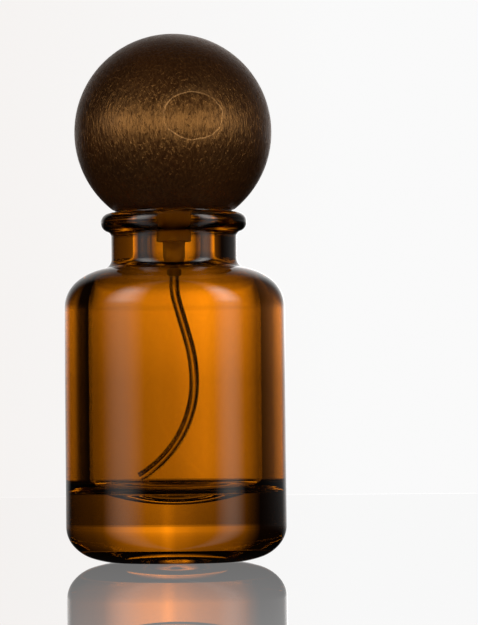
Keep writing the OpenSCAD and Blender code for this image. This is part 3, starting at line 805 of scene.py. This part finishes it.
def nozzle_insert():
    """A small cup pressed into the button, with the spray hole in a shallow cone."""
    front = -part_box("nozzle_insert")[0].y
    back, face = front - 2.3 * MM, front - 0.5 * MM
    hole_r, hole_h, cone_r, cup_r = 0.15 * MM, 0.25 * MM, 0.6 * MM, 1.35 * MM
    outline = eased([
        (hole_r, face, 0), (cup_r, face, 0.1 * MM), (cup_r, back, 0.05 * MM),
        (NOZZLE_R, back, 0.1 * MM), (NOZZLE_R, front, 0.12 * MM), (cone_r, front, 0.05 * MM),
        (hole_r, front - hole_h, 0)])
    bm = turned(outline, SLIM_SIDES)
    height = Matrix.Translation((0, 0, middle("nozzle_insert")))
    bmesh.ops.transform(bm, verts=bm.verts, matrix=height @ TO_FRONT)
    nozzle = new_piece("nozzle_insert_moulding", bm)
    placed(nozzle, WHITE, "actuator", "white_plastic", "nozzle_insert")


# ---------------------------------------------------------------- studio

CAMERA_BACK, CAMERA_UP = 0.8484, 0.0256
CAMERA_TURN, CAMERA_TILT, CAMERA_ROLL = -0.79, 1.32, -0.55
LENS_LENGTH, SENSOR_WIDTH, CLIP_NEAR, CLIP_FAR = 269.3, 36, 0.05, 50
BACKDROP_LEFT, BACKDROP_RIGHT = (0.905, 0.87, 0.85), (0.955, 0.955, 0.955)
# Where the backdrop's colour starts to change and how far it takes, in degrees
BACKDROP_START, BACKDROP_SPAN = -4.0, 6.0
TABLE_R, TABLE_SIDES, TABLE_IOR, TABLE_SHINE = 0.75, 96, 1.45, 0.84
TABLE_MIRROR = (0.98, 0.98, 0.98)
VEIL_GAP = 0.02 * MM
LIGHT_COLOUR, ROOM_LIGHT = (1.0, 0.975, 0.96), 0.003
# Brightness of the lit backdrop by azimuth from straight behind, in degrees to the right
PANEL = ((-38, 0.003), (-35, 0.04), (-31, 0.12), (-27, 0.28), (-14, 0.55), (-7, 0.66),
         (-3, 0.88), (0, 1.0), (2, 1.35), (3.5, 1.5), (6, 1.15), (12, 1.0), (20, 0.65),
         (31, 0.18), (38, 0.12), (55, 0.08), (80, 0.012))
# And by elevation
PANEL_RISE = ((-24, 0.0), (-10, 0.0), (-4, 0.25), (-1.1, 0.6), (-0.65, 0.95), (0.4, 1.05),
              (1.4, 1.9), (4, 1.45), (8, 1.15), (14, 0.95), (24, 0.75), (38, 0.35), (55, 0.05),
              (90, 0.02))
# Soft boxes by azimuth from the camera's side: middle, half width and brightness
LEFT_BOX, RIGHT_BOX = (-57, 27, 0.8), (59, 20, 1.0)
BOX_RISE = ((-90, 0.2), (0, 1.1), (8, 1.4), (18, 4.2), (45, 4.5), (60, 0.3), (90, 0.25))
# The share of the soft boxes that matt pieces see
BOX_ON_MATT = 0.15
# A long low strip over the camera, seen by matt pieces alone
STRIP_RISE = ((0, 0.0), (5, 0.8), (9, 1.0), (13, 0.8), (18, 0.0))
STRIP_SPAN = ((-95, 0.0), (-60, 1.0), (60, 1.0), (95, 0.0))
STRIP_LEVEL = 6.0


def azimuth(n, right, away):
    """The angle to the right of straight away, in degrees."""
    return n.maths("MULTIPLY", n.maths("ARCTAN2", right, away), DEGREES)


def pale_colour(n, to_right):
    """The backdrop's colour, a little warmer towards the left."""
    share = n.maths("DIVIDE", n.maths("SUBTRACT", to_right, BACKDROP_START), BACKDROP_SPAN,
                    clamp=True)
    return n.mix(share, BACKDROP_LEFT, BACKDROP_RIGHT)


def level_over(n, value, stops):
    """A smooth level over a range of degrees."""
    low, high = stops[0][0], stops[-1][0]
    share = n.maths("DIVIDE", n.maths("SUBTRACT", value, low), high - low, clamp=True)
    most = max(level for place, level in stops)
    ramp = n.ramp(share, *[((place - low) / (high - low), level / most) for place, level in stops])
    return n.maths("MULTIPLY", ramp, most)


def soft_box(n, to_right, centre, half_width, level):
    """A light that fades smoothly to both sides."""
    off = n.maths("DIVIDE", n.maths("SUBTRACT", to_right, centre), half_width)
    dome = n.maths("SUBTRACT", 1.0, n.maths("MULTIPLY", off, off), clamp=True)
    return n.maths("MULTIPLY", n.maths("MULTIPLY", dome, dome), level)


def studio_world():
    """A bright backdrop behind the bottle and soft boxes beside the camera, in a dark studio."""
    made = bpy.data.worlds.new("studio")
    made.use_nodes = True
    made.node_tree.nodes.clear()
    n = Nodes(made.node_tree)
    axes = n.add("SeparateXYZ", Vector=n.add("TexCoord").outputs["Generated"]).outputs
    behind = azimuth(n, axes["X"], axes["Y"])
    before = azimuth(n, axes["X"], n.maths("MULTIPLY", axes["Y"], -1))
    height = n.maths("MULTIPLY", n.maths("ARCSINE", axes["Z"]), DEGREES)
    path = n.add("LightPath").outputs
    polished = path["Is Singular Ray"]

    panel = n.maths("MULTIPLY", level_over(n, behind, PANEL), level_over(n, height, PANEL_RISE))
    boxes = n.maths("ADD", soft_box(n, before, *LEFT_BOX), soft_box(n, before, *RIGHT_BOX))
    boxes = n.maths("MULTIPLY", boxes, level_over(n, height, BOX_RISE))
    weight = n.maths("ADD", n.maths("MULTIPLY", polished, 1 - BOX_ON_MATT), BOX_ON_MATT)
    boxes = n.maths("MULTIPLY", boxes, weight)
    strip = n.maths("MULTIPLY", level_over(n, height, STRIP_RISE),
                    level_over(n, before, STRIP_SPAN))
    weight = n.maths("MULTIPLY", n.maths("SUBTRACT", 1.0, polished), STRIP_LEVEL)
    strip = n.maths("MULTIPLY", strip, weight)
    level = n.maths("ADD", n.maths("ADD", panel, n.maths("ADD", boxes, strip)), ROOM_LIGHT)
    lit = n.add("Background", Color=LIGHT_COLOUR, Strength=level).outputs[0]

    # The camera, and its mirror image in the table, see the plain pale backdrop. A ray that the
    # table has reflected rises, is at its first bounce and has gone through the veil twice.
    seen = n.add("Background", Color=pale_colour(n, behind), Strength=1.0).outputs[0]
    first = n.maths("LESS_THAN", path["Ray Depth"], 2.5)
    veiled = n.maths("GREATER_THAN", path["Transparent Depth"], 1.5)
    rising = n.maths("GREATER_THAN", height, 0.0)
    mirrored = n.maths("MULTIPLY", first, n.maths("MULTIPLY", rising, veiled))
    plain = n.maths("MAXIMUM", path["Is Camera Ray"], mirrored)
    n.add("OutputWorld", Surface=n.either(plain, lit, seen))
    bpy.context.scene.world = made


def disc(name, height, material):
    bm = bmesh.new()
    bmesh.ops.create_circle(bm, cap_ends=True, segments=TABLE_SIDES, radius=TABLE_R,
                            matrix=Matrix.Translation((0, 0, height)))
    piece = new_piece(name, bm)
    piece.data.materials.append(material)
    return piece


def gloss_table():
    """As pale as the backdrop above it, and a mirror to what stands on it."""
    n = Surface("pale_gloss_table")
    spot = n.add("SeparateXYZ", Vector=n.place()).outputs
    to_right = azimuth(n, spot["X"], n.maths("ADD", spot["Y"], CAMERA_BACK))
    pale = n.add("Emission", Color=pale_colour(n, to_right), Strength=1.0).outputs[0]
    shine = n.add("BsdfGlossy", Color=TABLE_MIRROR, Roughness=0.0).outputs[0]
    share = n.maths("MINIMUM", n.add("Fresnel", IOR=TABLE_IOR).outputs[0], TABLE_SHINE)
    both = n.either(share, pale, shine)
    # Seen through the glass, the table gives way to the graded light of the studio below it
    clear = n.add("BsdfTransparent").outputs[0]
    n.show_only(n.either(n.add("LightPath").outputs["Is Camera Ray"], clear, both))
    return n.material


def clear_veil():
    n = Surface("clear_veil")
    n.show_only(n.add("BsdfTransparent").outputs[0])
    return n.material


def studio_floor():
    """A pale gloss table, and a clear veil just above it that marks the rays it reflects."""
    table = disc("studio_floor", 0, gloss_table())
    veil = disc("studio_veil", VEIL_GAP, clear_veil())


def camera():
    """Far back and near the table, level with the lower body, turned a little to its right."""
    lens = bpy.data.cameras.new("camera")
    lens.lens, lens.sensor_width = LENS_LENGTH, SENSOR_WIDTH
    lens.clip_start, lens.clip_end = CLIP_NEAR, CLIP_FAR
    eye = bpy.data.objects.new("camera", lens)
    turn = (Matrix.Rotation(math.radians(CAMERA_TURN), 4, "Z")
            @ Matrix.Rotation(math.radians(90 + CAMERA_TILT), 4, "X")
            @ Matrix.Rotation(math.radians(CAMERA_ROLL), 4, "Z"))
    eye.matrix_world = Matrix.Translation((0, -CAMERA_BACK, CAMERA_UP)) @ turn
    bpy.context.scene.collection.objects.link(eye)
    bpy.context.scene.camera = eye


# ---------------------------------------------------------------- build

bpy.context.scene.view_settings.view_transform = "Standard"
camera()
studio_world()
studio_floor()

NATURAL = moulded_plastic("natural_plastic", (0.88, 0.87, 0.82), 0.9)
NATURAL_BODY = moulded_plastic("milky_plastic", (0.86, 0.86, 0.83), 0.7)
CLEAR = moulded_plastic("clear_plastic", (0.96, 0.96, 0.93), 1.0, 0.04, 0.1)
WHITE = moulded_plastic("white_plastic", (0.86, 0.86, 0.85))
METAL = satin_aluminium()
STEEL = drawn_steel()
RUBBER = seal_rubber()

glass_bottle()
wooden_ball()
cap_liner()
dip_tube()
pump_housing()
neck_gasket()
stem_seal()
turret()
crimp_ferrule()
pump_collar()
stem()
valve_plunger()
piston()
inlet_ball()
return_spring()
piston_spring()
actuator_button()
actuator_shell()
nozzle_insert()
